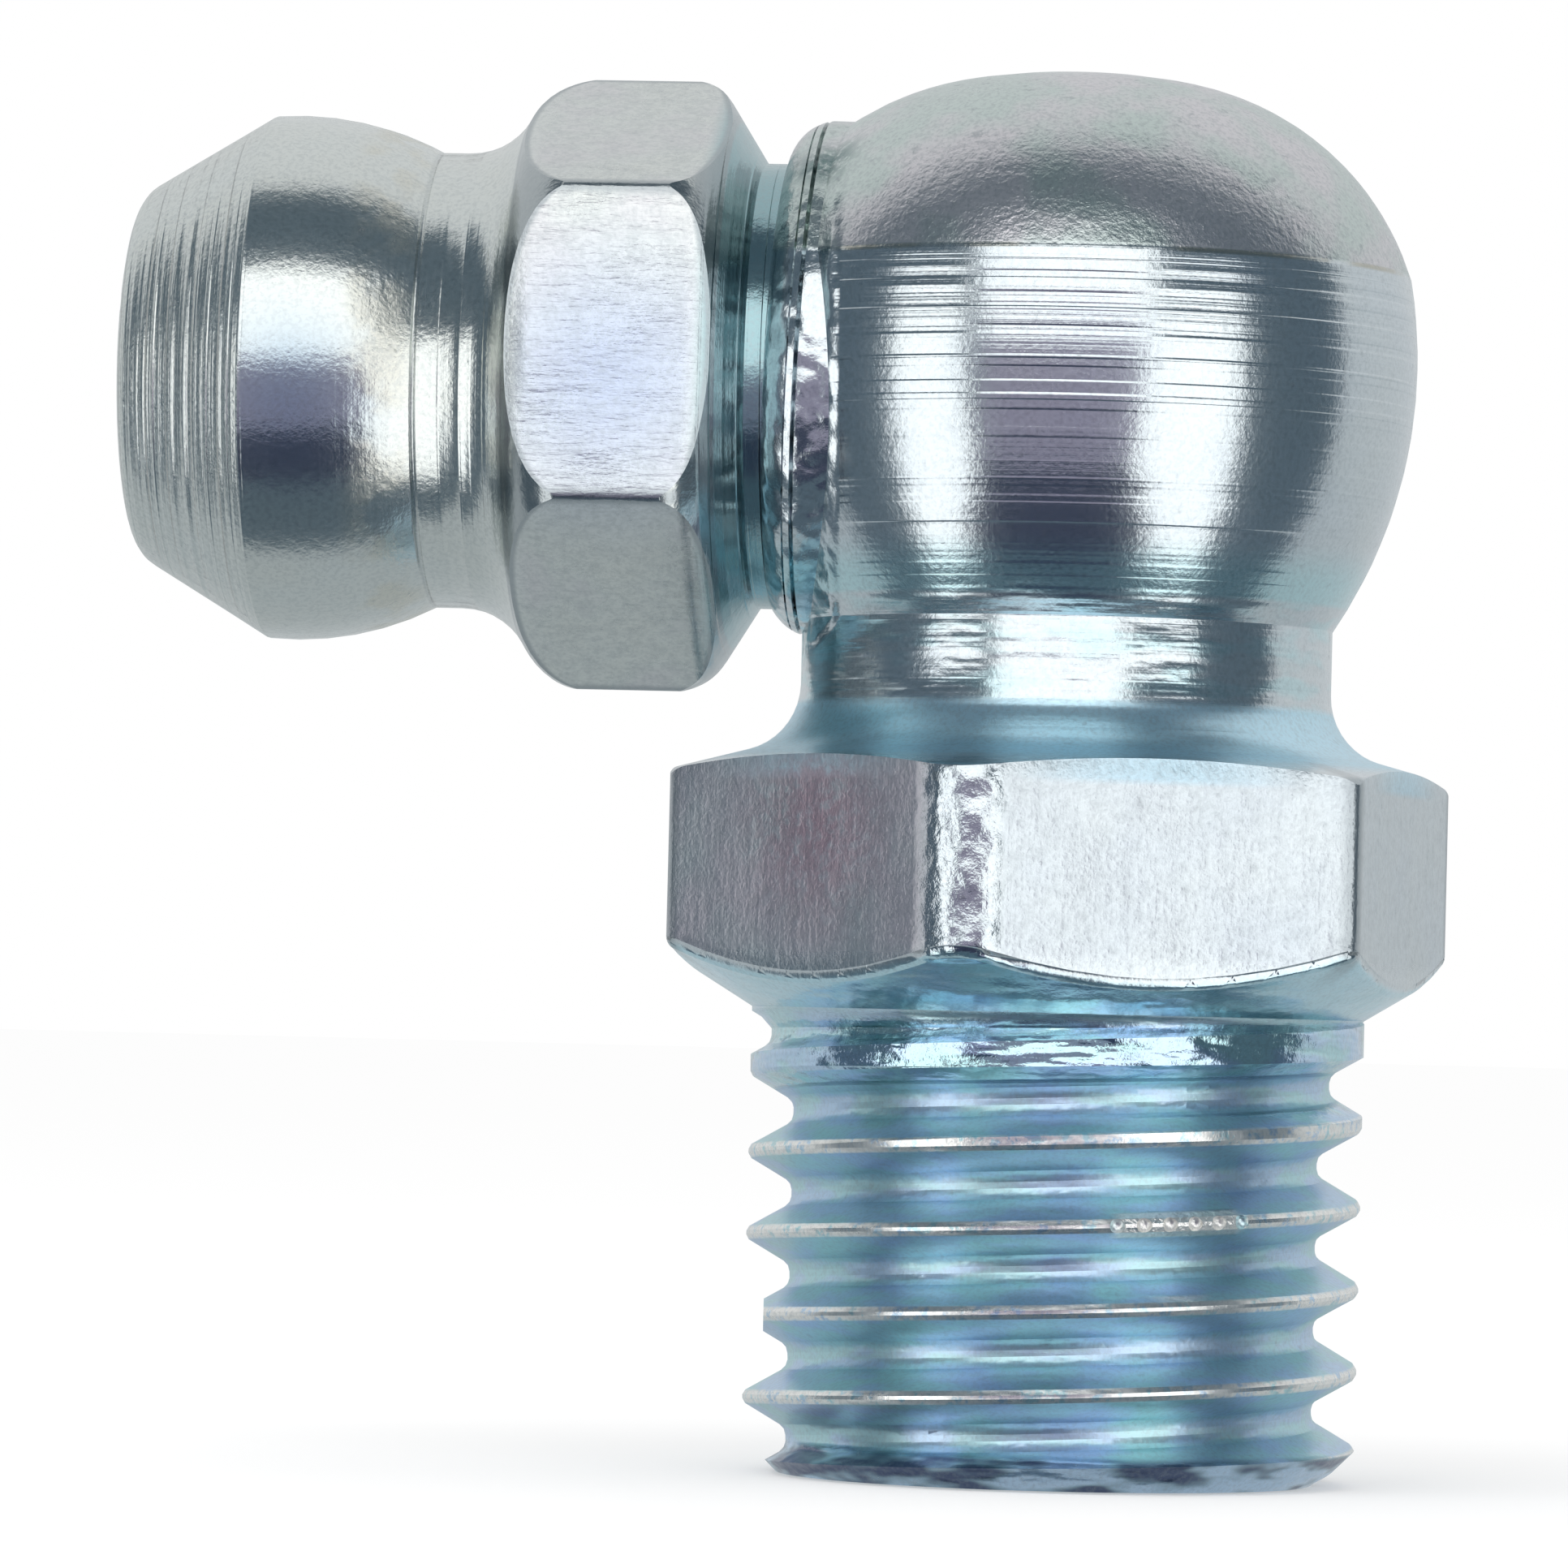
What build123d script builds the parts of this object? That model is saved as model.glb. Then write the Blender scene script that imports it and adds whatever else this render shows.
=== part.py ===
"""Right-angle grease nipple: an elbow body with a hexagon and a threaded stub, and a nipple screwed
into the side of its round head. Millimetres, +Z up along the stub, the nipple points along -X.
The origin is the centre of the stub's end face."""
import os
from math import atan2, cos, degrees, radians, sin, sqrt, tan

from build123d import *

# Threaded stub, a 5/16 inch thread of 24 turns an inch
STUB_MAJOR_DIAMETER = 7.94
STUB_PITCH = 25.4 / 24
STUB_END_CHAMFER = 0.45
STUB_THREAD_START = -1.185
STUB_RUNOUT_TURNS = 1.75
STUB_RUNOUT_PAST_CONE = 0.60

# Basic 60 degree thread form, as shares of the pitch, with a rounded root and crests broken at the edge
THREAD_FLANK_ANGLE = 30.0
THREAD_DEPTH_SHARE = 0.5413
ROOT_FLAT_SHARE = 0.25
ROOT_ROUND_SHARE = 0.15
CREST_BREAK_SHARE = 0.035
CREST_BREAK_ANGLE = 60.0
CUTTER_MARGIN_SHARE = 0.05

# Hexagon of the elbow, whose flats stand out past the thread, and the cone under it; its front corner is
# worn rounder than the rest
SEAT_CONE_HEIGHT = 6.00
SEAT_CONE_SLOPE = 31.5
SEAT_RELIEF_DIAMETER = 7.16
SEAT_RELIEF_SLOPE = 47.0
BODY_HEX_LAND = 0.58
BODY_HEX_TURN = 18.3
BODY_HEX_CORNER_RADIUS = 0.20
BODY_HEX_WORN_RADIUS = 0.80
BODY_HEX_TOP_RISE = 3.50
BODY_HEX_TOP_SLOPE = 15.0
HEX_EDGE_ROUND = 0.22
HEX_LOWER_ROUND = 0.18

# Neck and round head: each rise is measured from the feature before it
NECK_DIAMETER = 6.88
NECK_FILLET = 0.90
NIPPLE_AXIS_RISE = 4.57
HEAD_DIAMETER = 8.92
HEAD_WIDEST_RISE = 0.38
HEAD_BARREL_RADIUS = 6.30
HEAD_KINK_RISE = 1.15
HEAD_DOME_RISE = 2.60
HEAD_SHOULDER_RADIUS = 3.65
HEAD_CROWN_RADIUS = 8.5

# Side hole of the head and the rounded rim round it, which stands further out at its lower side
SIDE_HOLE_DEPTH = 0.60
SIDE_HOLE_CLEARANCE = 0.02
SIDE_DRILL_DIAMETER = 4.60
SIDE_DRILL_DEPTH = -1.00
DRILL_POINT_ANGLE = 118.0
GREASE_BORE_DIAMETER = 3.00
RIM_WALL = 0.44
RIM_RISE = 0.87
RIM_TILT = 2.0
RIM_ROUND = 0.60
RIM_GROOVE_SETBACKS = (0.46, 0.34)
RIM_GROOVE_DEPTH = 0.09
RIM_GROOVE_WIDTH = 0.07

# Nipple, from the shank in the side hole outwards
NIPPLE_SHANK_DIAMETER = 5.80
NIPPLE_END_GAP = 0.30
NIPPLE_STANDOFF = 0.23
NIPPLE_BACK_CONE_SLOPE = 32.0
NIPPLE_BACK_ROUND = 0.75
NIPPLE_HEX_ACROSS_FLATS = 7.00
NIPPLE_HEX_TURN = 4.9
NIPPLE_HEX_CORNER_RADIUS = 0.12
NIPPLE_HEX_LENGTH = 2.60
NIPPLE_HEX_FRONT_SLOPE = 60.0
NIPPLE_HEX_CROWN_RADIUS = 1.00
NIPPLE_NECK_DIAMETER = 5.94
NIPPLE_NECK_FILLET = 1.00
NIPPLE_NECK_LENGTH = 0.93
NIPPLE_HEAD_DIAMETER = 6.85
NIPPLE_BULGE_RADIUS = 4.00
NIPPLE_BULGE_LENGTH = 0.32
NIPPLE_CONE_LENGTH = 1.76
NIPPLE_TIP_DIAMETER = 4.72
NIPPLE_TIP_ROUND = 0.50

# Passage, valve seat, check ball and spring inside the nipple
MOUTH_DIAMETER = 2.00
MOUTH_LENGTH = 0.50
VALVE_SEAT_ANGLE = 45.0
CHAMBER_DIAMETER = 3.20
BALL_SIDE_CLEARANCE = 0.30
BALL_SEAT_GAP = 0.03
RETAINING_LIP_DIAMETER = 1.90
RETAINING_LIP_LENGTH = 0.40
SPRING_WIRE_DIAMETER = 0.32
SPRING_SIDE_CLEARANCE = 0.25
SPRING_TURNS = 8.0
SPRING_END_GAP = 0.03

# Wear: chips in one turn of the crest, and a crest knocked flat at the side
CHIP_TURN = 4
CHIP_ANGLES = (-75.0, -70.0, -65.0, -60.0, -55.0, -50.0)
CHIP_RADIUS = 0.10
FLAT_CREST_TURN = 2
FLAT_CREST_ANGLE = 185.0
FLAT_CREST_DEPTH = 0.25
FLAT_CREST_WIDTH = 0.55

# Heights and reaches that follow from the sizes above; reaches run from the elbow's axis along the nipple
STUB_MAJOR_RADIUS = STUB_MAJOR_DIAMETER / 2
BODY_HEX_ACROSS_FLATS = STUB_MAJOR_DIAMETER + 2 * BODY_HEX_LAND
BODY_CORNER_RADIUS = BODY_HEX_ACROSS_FLATS / 2 / cos(radians(30))
NECK_RADIUS = NECK_DIAMETER / 2
HEAD_RADIUS = HEAD_DIAMETER / 2
BODY_HEX_TOP_HEIGHT = SEAT_CONE_HEIGHT + BODY_HEX_TOP_RISE
NIPPLE_AXIS_HEIGHT = BODY_HEX_TOP_HEIGHT + NIPPLE_AXIS_RISE
HEAD_WIDEST_HEIGHT = NIPPLE_AXIS_HEIGHT + HEAD_WIDEST_RISE
HEAD_KINK_HEIGHT = HEAD_WIDEST_HEIGHT + HEAD_KINK_RISE
HEAD_TOP_HEIGHT = HEAD_KINK_HEIGHT + HEAD_DOME_RISE
SIDE_HOLE_RADIUS = NIPPLE_SHANK_DIAMETER / 2 + SIDE_HOLE_CLEARANCE
RIM_RADIUS = SIDE_HOLE_RADIUS + RIM_WALL
RIM_REACH = sqrt(HEAD_RADIUS**2 - RIM_RADIUS**2) + RIM_RISE
NIPPLE_END_REACH = SIDE_HOLE_DEPTH + NIPPLE_END_GAP
NIPPLE_CORNER_RADIUS = NIPPLE_HEX_ACROSS_FLATS / 2 / cos(radians(30))
NIPPLE_BACK_REACH = RIM_REACH + NIPPLE_STANDOFF
NIPPLE_BACK_RUN = (NIPPLE_CORNER_RADIUS - NIPPLE_SHANK_DIAMETER / 2) * tan(radians(NIPPLE_BACK_CONE_SLOPE))
NIPPLE_HEX_BACK_REACH = NIPPLE_BACK_REACH + NIPPLE_BACK_RUN
NIPPLE_HEX_FRONT_REACH = NIPPLE_HEX_BACK_REACH + NIPPLE_HEX_LENGTH
BULGE_MIDDLE = NIPPLE_HEAD_DIAMETER / 2 - NIPPLE_BULGE_RADIUS
BULGE_RUN = sqrt(NIPPLE_BULGE_RADIUS**2 - (NIPPLE_NECK_DIAMETER / 2 - BULGE_MIDDLE) ** 2)
BULGE_FOOT_REACH = NIPPLE_HEX_FRONT_REACH + NIPPLE_NECK_LENGTH
NIPPLE_WIDEST_REACH = BULGE_FOOT_REACH + BULGE_RUN
NIPPLE_CONE_END_REACH = NIPPLE_WIDEST_REACH + NIPPLE_BULGE_LENGTH
NIPPLE_TIP_REACH = NIPPLE_CONE_END_REACH + NIPPLE_CONE_LENGTH
BALL_RADIUS = CHAMBER_DIAMETER / 2 - BALL_SIDE_CLEARANCE


def turned(outline):
    """Turn a closed half outline, drawn as radius and height, about Z."""
    return revolve(Plane.XZ * make_face(outline), Axis.Z)


def hex_bar(across_flats, corner_radius, turn, low, high, worn_radius=None):
    """Hexagonal bar on Z with rounded corners, one flat facing the angle of turn; the corner 30 degrees
    before that flat can be worn to a larger radius."""
    hexagon = RegularPolygon(across_flats / 2, 6, major_radius=False)
    first_flat = hexagon.edges()[0] @ 0.5
    hexagon = Rot(0, 0, turn - degrees(atan2(first_flat.Y, first_flat.X))) * hexagon
    worn_angle = radians(turn - 30)

    def nearness(corner):
        return corner.X * cos(worn_angle) + corner.Y * sin(worn_angle)

    hexagon = fillet(hexagon.vertices().sort_by(nearness)[:-1], corner_radius)
    hexagon = fillet(hexagon.vertices().sort_by(nearness)[-1], worn_radius or corner_radius)
    return Pos(0, 0, low) * extrude(hexagon, high - low)


def thread_groove(major_radius, pitch, low, turns, runout_turns):
    """Cutter for a right-hand thread that starts at low, with its depth fading out at the top."""
    depth = THREAD_DEPTH_SHARE * pitch
    crest_break = CREST_BREAK_SHARE * pitch
    margin = CUTTER_MARGIN_SHARE * pitch
    root_half = ROOT_FLAT_SHARE * pitch / 2
    break_low = depth - crest_break
    break_high = depth + margin / 4
    flank_half = root_half + break_low * tan(radians(THREAD_FLANK_ANGLE))
    mouth_half = flank_half + (break_high - break_low) * tan(radians(CREST_BREAK_ANGLE))
    root_radius = major_radius - depth
    upper_side = [
        (0, root_half), (break_low, flank_half), (break_high, mouth_half), (depth + margin, mouth_half)
    ]
    lower_side = [(across, -along) for across, along in reversed(upper_side)]
    form = Polygon(*upper_side, *lower_side, align=None)
    form = fillet(form.vertices().sort_by(Axis.X)[:2], ROOT_ROUND_SHARE * pitch)

    def swept(path):
        start = Plane(origin=path @ 0, x_dir=(1, 0, 0), z_dir=(0, 1, 0))
        return sweep(start * form, path=path, is_frenet=True)

    main = Helix(pitch, turns * pitch, root_radius)
    runout_height = runout_turns * pitch
    runout_angle = degrees(atan2(depth + margin, runout_height))
    runout = Helix(pitch, runout_height, root_radius, cone_angle=runout_angle)
    top = Pos(0, 0, turns * pitch) * Rot(0, 0, 360 * turns)
    return [Pos(0, 0, low) * swept(main), Pos(0, 0, low) * top * swept(runout)]


def dome_points():
    """Kink, shoulder middle, tangent point and top of the head, as radius and height."""
    barrel_middle = HEAD_RADIUS - HEAD_BARREL_RADIUS
    rise = HEAD_KINK_HEIGHT - HEAD_WIDEST_HEIGHT
    kink = Vector(barrel_middle + sqrt(HEAD_BARREL_RADIUS**2 - rise**2), HEAD_KINK_HEIGHT)
    crown_middle = Vector(0, HEAD_TOP_HEIGHT - HEAD_CROWN_RADIUS)
    span = kink - crown_middle
    between = HEAD_CROWN_RADIUS - HEAD_SHOULDER_RADIUS
    along = (between**2 - HEAD_SHOULDER_RADIUS**2 + span.length**2) / (2 * span.length)
    across = sqrt(between**2 - along**2)
    unit = span.normalized()
    shoulder_middle = crown_middle + unit * along + Vector(-unit.Y, unit.X) * across
    tangent = crown_middle + (shoulder_middle - crown_middle).normalized() * HEAD_CROWN_RADIUS
    outward = ((kink - shoulder_middle).normalized() + (tangent - shoulder_middle).normalized()).normalized()
    shoulder = shoulder_middle + outward * HEAD_SHOULDER_RADIUS
    crown_half = crown_middle + Vector(tangent.X / 2, sqrt(HEAD_CROWN_RADIUS**2 - tangent.X**2 / 4))
    return kink, shoulder, tangent, crown_half, Vector(0, HEAD_TOP_HEIGHT)


def head_blank():
    """Neck, barrel band and dome of the elbow, turned about Z."""
    barrel_middle = HEAD_RADIUS - HEAD_BARREL_RADIUS
    drop = sqrt(HEAD_BARREL_RADIUS**2 - (NECK_RADIUS - barrel_middle) ** 2)
    neck_top = Vector(NECK_RADIUS, HEAD_WIDEST_HEIGHT - drop)
    widest = Vector(HEAD_RADIUS, HEAD_WIDEST_HEIGHT)
    kink, shoulder, tangent, crown_half, top = dome_points()
    base = Vector(0, BODY_HEX_TOP_HEIGHT - NECK_FILLET)
    outline = [
        Line(base, (NECK_RADIUS, base.Y)),
        Line((NECK_RADIUS, base.Y), neck_top),
        ThreePointArc(neck_top, widest, kink),
        ThreePointArc(kink, shoulder, tangent),
        ThreePointArc(tangent, crown_half, top),
        Line(top, base),
    ]
    return turned(outline)


def hex_and_cone():
    """Hexagon of the elbow with its coned underside, sloping top and the fillet into the neck."""
    corner = BODY_CORNER_RADIUS
    relief = SEAT_RELIEF_DIAMETER / 2
    cone_rise = (corner - STUB_MAJOR_RADIUS) * tan(radians(SEAT_CONE_SLOPE))
    top_fall = (corner - NECK_RADIUS) * tan(radians(BODY_HEX_TOP_SLOPE))
    low = SEAT_CONE_HEIGHT - (STUB_MAJOR_RADIUS - relief) * tan(radians(SEAT_RELIEF_SLOPE))
    high = BODY_HEX_TOP_HEIGHT + NECK_FILLET
    outline = FilletPolyline(
        (0, low),
        (relief, low),
        (STUB_MAJOR_RADIUS, SEAT_CONE_HEIGHT),
        (corner, SEAT_CONE_HEIGHT + cone_rise),
        (corner, BODY_HEX_TOP_HEIGHT - top_fall),
        (NECK_RADIUS, BODY_HEX_TOP_HEIGHT),
        (NECK_RADIUS, high),
        (0, high),
        radius=[0, 0, 0, HEX_EDGE_ROUND, HEX_EDGE_ROUND, NECK_FILLET, 0, 0],
        close=True,
    )
    turn = BODY_HEX_TURN - 90
    bar = hex_bar(BODY_HEX_ACROSS_FLATS, BODY_HEX_CORNER_RADIUS, turn, low - 1, high + 1, BODY_HEX_WORN_RADIUS)
    hexagon = turned(outline) & bar
    seat_cone = hexagon.faces().filter_by(GeomType.CONE).sort_by(Axis.Z)[1]
    lower_edges = seat_cone.edges().filter_by(GeomType.LINE, reverse=True).sort_by(Axis.Z)[1:]
    return fillet(lower_edges, HEX_LOWER_ROUND)


def sideways(piece):
    """Lay a piece built along +Z on the nipple's axis, pointing along -X."""
    return Pos(0, 0, NIPPLE_AXIS_HEIGHT) * Rot(0, -90, 0) * piece


def raised_rim():
    """Low rounded rim round the side hole, with two fine grooves, tilted so that its lower side stands out."""
    disc = extrude(Circle(RIM_RADIUS), RIM_REACH)
    disc = fillet(disc.edges().sort_by(Axis.Z)[-1], RIM_ROUND)
    floor, past = RIM_RADIUS - RIM_GROOVE_DEPTH, RIM_RADIUS + RIM_GROOVE_DEPTH
    for setback in RIM_GROOVE_SETBACKS:
        reach = RIM_REACH - setback
        low, high = reach - RIM_GROOVE_WIDTH, reach + RIM_GROOVE_WIDTH
        disc -= turned(Polyline((floor, reach), (past, low), (past, high), close=True))
    return sideways(Rot(0, RIM_TILT, 0) * disc)


def drilled(diameter, depth, mouth):
    """Drilled hole along Z from its mouth down to depth, with the drill's point."""
    radius = diameter / 2
    point = radius / tan(radians(DRILL_POINT_ANGLE / 2))
    outline = Polyline((0, depth - point), (radius, depth), (radius, mouth), (0, mouth), close=True)
    return turned(outline)


def crest_place(angle, turn):
    """Middle of the thread crest at an angle about Z, after a count of turns."""
    height = STUB_THREAD_START + STUB_PITCH * (turn + 0.5 + angle / 360)
    return Rot(0, 0, angle) * Pos(STUB_MAJOR_RADIUS, 0, height)


def thread_wear():
    """Cutters for the chips in one crest and for the crest knocked flat."""
    cutters = [crest_place(angle, CHIP_TURN) * Sphere(CHIP_RADIUS) for angle in CHIP_ANGLES]
    past_crest = 2 * FLAT_CREST_DEPTH
    block = Box(past_crest, STUB_MAJOR_DIAMETER, FLAT_CREST_WIDTH)
    return cutters + [crest_place(FLAT_CREST_ANGLE, FLAT_CREST_TURN) * block]


def elbow_body():
    """One piece: threaded stub, cone, hexagon, neck and round head, with its bores."""
    thread_end = SEAT_CONE_HEIGHT + STUB_RUNOUT_PAST_CONE
    stub_top = thread_end + STUB_PITCH / 2
    stub_outline = Polyline(
        (0, 0),
        (STUB_MAJOR_RADIUS - STUB_END_CHAMFER, 0),
        (STUB_MAJOR_RADIUS, STUB_END_CHAMFER),
        (STUB_MAJOR_RADIUS, stub_top),
        (0, stub_top),
        close=True,
    )
    stub = turned(stub_outline)
    turns = (thread_end - STUB_THREAD_START) / STUB_PITCH - STUB_RUNOUT_TURNS
    for cutter in thread_groove(STUB_MAJOR_RADIUS, STUB_PITCH, STUB_THREAD_START, turns, STUB_RUNOUT_TURNS):
        stub -= cutter
    for cutter in thread_wear():
        stub -= cutter
    body = stub + hex_and_cone() + head_blank() + raised_rim()
    past_head = HEAD_DIAMETER
    body -= sideways(Pos(0, 0, SIDE_HOLE_DEPTH) * extrude(Circle(SIDE_HOLE_RADIUS), past_head))
    body -= sideways(drilled(SIDE_DRILL_DIAMETER, SIDE_DRILL_DEPTH, past_head))
    body -= extrude(Circle(GREASE_BORE_DIAMETER / 2), NIPPLE_AXIS_HEIGHT)
    return body


def on_bulge(reach):
    """Point of the coupling head's rounded side, as radius and reach."""
    return Vector(BULGE_MIDDLE + sqrt(NIPPLE_BULGE_RADIUS**2 - (reach - NIPPLE_WIDEST_REACH) ** 2), reach)


def nipple_blank():
    """Outside of the nipple: coupling head, neck, hexagon and shank, built along +Z."""
    neck = NIPPLE_NECK_DIAMETER / 2
    shank = NIPPLE_SHANK_DIAMETER / 2
    cone_end = on_bulge(NIPPLE_CONE_END_REACH)
    front = FilletPolyline(
        (0, NIPPLE_TIP_REACH), (NIPPLE_TIP_DIAMETER / 2, NIPPLE_TIP_REACH), cone_end, radius=NIPPLE_TIP_ROUND
    )
    head_end = Vector(neck, BULGE_FOOT_REACH)
    middle = Vector(0, NIPPLE_HEX_FRONT_REACH)
    outline = [
        front,
        ThreePointArc(cone_end, on_bulge(NIPPLE_WIDEST_REACH), head_end),
        Line(head_end, (neck, NIPPLE_HEX_FRONT_REACH)),
        Line((neck, NIPPLE_HEX_FRONT_REACH), middle),
        Line(middle, (0, NIPPLE_TIP_REACH)),
    ]
    head = turned(outline)
    corner = NIPPLE_CORNER_RADIUS
    flare_top = NIPPLE_HEX_FRONT_REACH + NIPPLE_NECK_FILLET
    front_fall = (corner - neck) / tan(radians(NIPPLE_HEX_FRONT_SLOPE))
    hex_outline = FilletPolyline(
        (0, flare_top),
        (neck, flare_top),
        (neck, NIPPLE_HEX_FRONT_REACH),
        (corner, NIPPLE_HEX_FRONT_REACH - front_fall),
        (corner, NIPPLE_HEX_BACK_REACH),
        (shank, NIPPLE_BACK_REACH),
        (shank, NIPPLE_END_REACH),
        (0, NIPPLE_END_REACH),
        radius=[0, 0, NIPPLE_NECK_FILLET, NIPPLE_HEX_CROWN_RADIUS, NIPPLE_BACK_ROUND, 0, 0, 0],
        close=True,
    )
    turn = NIPPLE_HEX_TURN - 90
    bar = hex_bar(NIPPLE_HEX_ACROSS_FLATS, NIPPLE_HEX_CORNER_RADIUS, turn, NIPPLE_END_REACH - 1, flare_top + 1)
    return head + (turned(hex_outline) & bar)


def valve_passage():
    """Mouth, valve seat, chamber and the opening of the retaining lip, as one cutter along Z."""
    mouth = MOUTH_DIAMETER / 2
    chamber = CHAMBER_DIAMETER / 2
    seat_top = NIPPLE_TIP_REACH - MOUTH_LENGTH
    seat_low = seat_top - (chamber - mouth) / tan(radians(VALVE_SEAT_ANGLE))
    lip_top = NIPPLE_END_REACH + RETAINING_LIP_LENGTH
    outline = Polyline(
        (0, NIPPLE_TIP_REACH + 1),
        (mouth, NIPPLE_TIP_REACH + 1),
        (mouth, seat_top),
        (chamber, seat_low),
        (chamber, lip_top),
        (RETAINING_LIP_DIAMETER / 2, lip_top),
        (RETAINING_LIP_DIAMETER / 2, NIPPLE_END_REACH - 1),
        (0, NIPPLE_END_REACH - 1),
        close=True,
    )
    return turned(outline)


def ball_reach():
    """Distance of the check ball's middle from the elbow's axis, just off its seat."""
    seat_top = NIPPLE_TIP_REACH - MOUTH_LENGTH
    tilt = radians(VALVE_SEAT_ANGLE)
    apex = seat_top + MOUTH_DIAMETER / 2 / tan(tilt)
    return apex - (BALL_RADIUS + BALL_SEAT_GAP) / sin(tilt)


def nipple():
    """One piece: the nipple with its passage, laid on its axis."""
    return sideways(nipple_blank() - valve_passage())


def check_ball():
    return sideways(Pos(0, 0, ball_reach()) * Sphere(BALL_RADIUS))


def return_spring():
    """Coil spring between the retaining lip and the ball."""
    wire = SPRING_WIRE_DIAMETER / 2
    coil = CHAMBER_DIAMETER / 2 - SPRING_SIDE_CLEARANCE - wire
    low = NIPPLE_END_REACH + RETAINING_LIP_LENGTH + SPRING_END_GAP + wire
    ball_contact = ball_reach() - sqrt((BALL_RADIUS + wire + SPRING_END_GAP) ** 2 - coil**2)
    height = ball_contact - low
    path = Helix(height / SPRING_TURNS, height, coil)
    start = Plane(origin=path @ 0, z_dir=path % 0)
    return sideways(Pos(0, 0, low) * sweep(start * Circle(wire), path=path, is_frenet=True))


os.makedirs("parts", exist_ok=True)
pieces = {
    "elbow_body": elbow_body(),
    "nipple": nipple(),
    "check_ball": check_ball(),
    "return_spring": return_spring(),
}
for name, piece in pieces.items():
    export_step(piece, f"parts/{name}.step")
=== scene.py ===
# %% [markdown]
# # Dressing a right-angle grease nipple
#
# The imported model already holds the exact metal: an elbow body with a threaded stub, a hexagon and a round
# head, and a nipple screwed into the side of that head. This lesson gives it the look of bright zinc plating
# over turned and milled steel, and lights it the way small turned parts are usually photographed.
#
# Everything is in metres and in the same frame as the model: +Z runs up the stub, the nipple points along -X.

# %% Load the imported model
import math
from types import SimpleNamespace

import bmesh
import bpy
from mathutils import Matrix, Vector


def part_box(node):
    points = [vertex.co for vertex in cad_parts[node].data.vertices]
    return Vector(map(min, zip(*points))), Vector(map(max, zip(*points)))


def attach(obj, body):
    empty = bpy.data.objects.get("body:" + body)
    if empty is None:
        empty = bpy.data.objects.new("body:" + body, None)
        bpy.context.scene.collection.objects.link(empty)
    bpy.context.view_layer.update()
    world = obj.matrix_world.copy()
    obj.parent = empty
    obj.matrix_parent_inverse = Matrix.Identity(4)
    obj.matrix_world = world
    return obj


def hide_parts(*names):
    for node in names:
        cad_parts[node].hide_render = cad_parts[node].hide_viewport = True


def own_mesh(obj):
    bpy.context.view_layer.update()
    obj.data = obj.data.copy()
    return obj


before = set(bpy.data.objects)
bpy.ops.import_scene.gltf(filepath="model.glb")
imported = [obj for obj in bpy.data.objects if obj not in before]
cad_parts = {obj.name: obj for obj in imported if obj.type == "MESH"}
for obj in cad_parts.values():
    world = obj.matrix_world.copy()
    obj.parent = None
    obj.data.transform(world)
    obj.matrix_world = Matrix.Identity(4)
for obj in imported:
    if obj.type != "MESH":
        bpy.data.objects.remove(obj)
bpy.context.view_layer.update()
MM = 0.001

# %% [markdown]
# ## Where things are on the part
#
# The finishes change from place to place: turned bands, milled flats, a thread. Each needs to know where it
# starts and stops. The heights of the elbow are told from its end face, the distances of the nipple from the
# elbow's axis, so a mask in a material is a sentence such as "above the kink of the head".

# %% Places on the elbow and the nipple, in millimetres
AXIS_HEIGHT = 14.07
CONE_FOOT = 6.0
HEX_LOW, HEX_TOP = 6.6, 9.2
NECK_FOOT, NECK_TOP = 9.6, 11.0
KINK_HEIGHT = 15.6
CREST_RADIUS = 3.97
TIP_REACH, CONE_END_REACH, NECK_REACH = 12.2, 10.44, 8.27
NIPPLE_HEX_FRONT, NIPPLE_HEX_BACK = 6.9, 4.6

nipple_box_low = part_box("nipple")[0]
print("nipple reaches", round(-nipple_box_low.x / MM, 2), "mm from the elbow's axis")

# %% [markdown]
# ## The camera
#
# The part was photographed close by with a long lens, from slightly right of square and a little below its
# middle, and the camera leaned by a degree. The distance matters: it makes the near edges of the hexagon
# larger than the far ones. A camera aimed at a point between the two axes repeats that view.

# %% Camera at the photograph's angle
PHOTO_SIDE = 1932
SENSOR_WIDTH = 36.0
PIXELS_PER_MM = 94.67
CAMERA_DISTANCE = 112.85 * MM
CAMERA_AZIMUTH, CAMERA_ELEVATION, CAMERA_ROLL = 5.0, -1.54, 1.44
AIM = Vector((-3.639, 0.0, 8.897)) * MM

camera_data = bpy.data.cameras.new("photo_camera")
camera = bpy.data.objects.new("photo_camera", camera_data)
bpy.context.scene.collection.objects.link(camera)
bpy.context.scene.camera = camera
camera_data.sensor_width = SENSOR_WIDTH
camera_data.lens = SENSOR_WIDTH * PIXELS_PER_MM * CAMERA_DISTANCE / MM / PHOTO_SIDE
camera_data.clip_start, camera_data.clip_end = 0.001, 10.0

azimuth, elevation = math.radians(CAMERA_AZIMUTH), math.radians(CAMERA_ELEVATION)
towards_camera = Vector(
    (math.sin(azimuth) * math.cos(elevation), -math.cos(azimuth) * math.cos(elevation), math.sin(elevation))
)
camera.location = AIM + towards_camera * CAMERA_DISTANCE
camera.rotation_mode = "QUATERNION"
aimed = (-towards_camera).to_track_quat("-Z", "Y")
camera.rotation_quaternion = aimed @ Matrix.Rotation(math.radians(CAMERA_ROLL), 3, "Z").to_quaternion()
print("lens, mm:", round(camera_data.lens, 1))

# %% [markdown]
# ## Shader maths as Python
#
# A plated surface is built from masks: "here, and not there, and a little less where the noise is high". In
# the node editor each plus and times is a box and a wire. Here one small class wraps a socket, so that a
# Python expression adds the Math nodes, and one method adds every other kind of node.

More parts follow.
